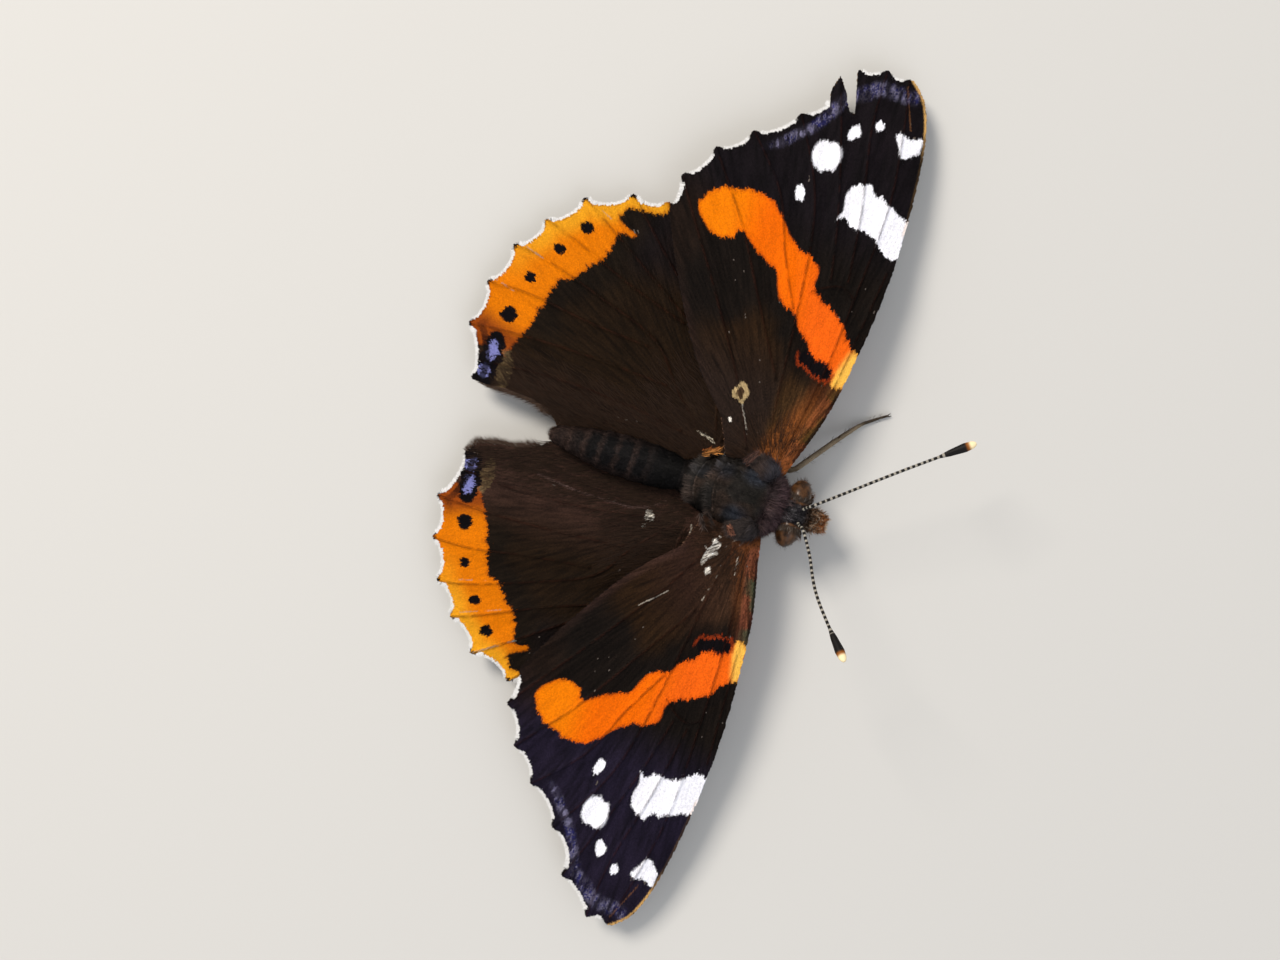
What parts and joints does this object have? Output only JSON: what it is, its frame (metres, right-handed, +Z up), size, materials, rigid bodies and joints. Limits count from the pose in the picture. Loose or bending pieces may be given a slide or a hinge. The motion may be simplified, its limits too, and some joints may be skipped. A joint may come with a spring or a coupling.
{
  "type": "red admiral butterfly",
  "caption": "Life-size still model of a red admiral butterfly at rest, wings spread flat and pressed low, feelers raised, standing on its walking legs.",
  "frame": {"origin": "on the floor, under the middle of the whole animal's box", "axes": "+Z up; +X towards the tips of the animal's left wings, across the wingspan; the head points along -Y"},
  "size_m": [0.07, 0.0392, 0.0128],
  "materials": {
    "wing": "matt, covered in fine overlapping scales",
    "body_fur": "short dense fur",
    "palp_scales": "short dense scales",
    "eye": "glossy, finely faceted",
    "feeler": "satin horn with scales",
    "leg": "satin horn with flat scales"
  },
  "bodies": {
    "root": {"thorax": "body_fur", "abdomen": "body_fur", "head": "body_fur", "palp_left": "palp_scales", "palp_right": "palp_scales", "eye_left": "eye", "eye_right": "eye", "proboscis": "feeler", "antenna_left": "feeler", "antenna_right": "feeler", "forewing_left": "wing", "forewing_right": "wing", "hindwing_left": "wing", "hindwing_right": "wing", "foreleg_left": "leg", "foreleg_right": "leg", "midleg_left": "leg", "midleg_right": "leg", "hindleg_left": "leg", "hindleg_right": "leg"}
  },
  "joints": []
}
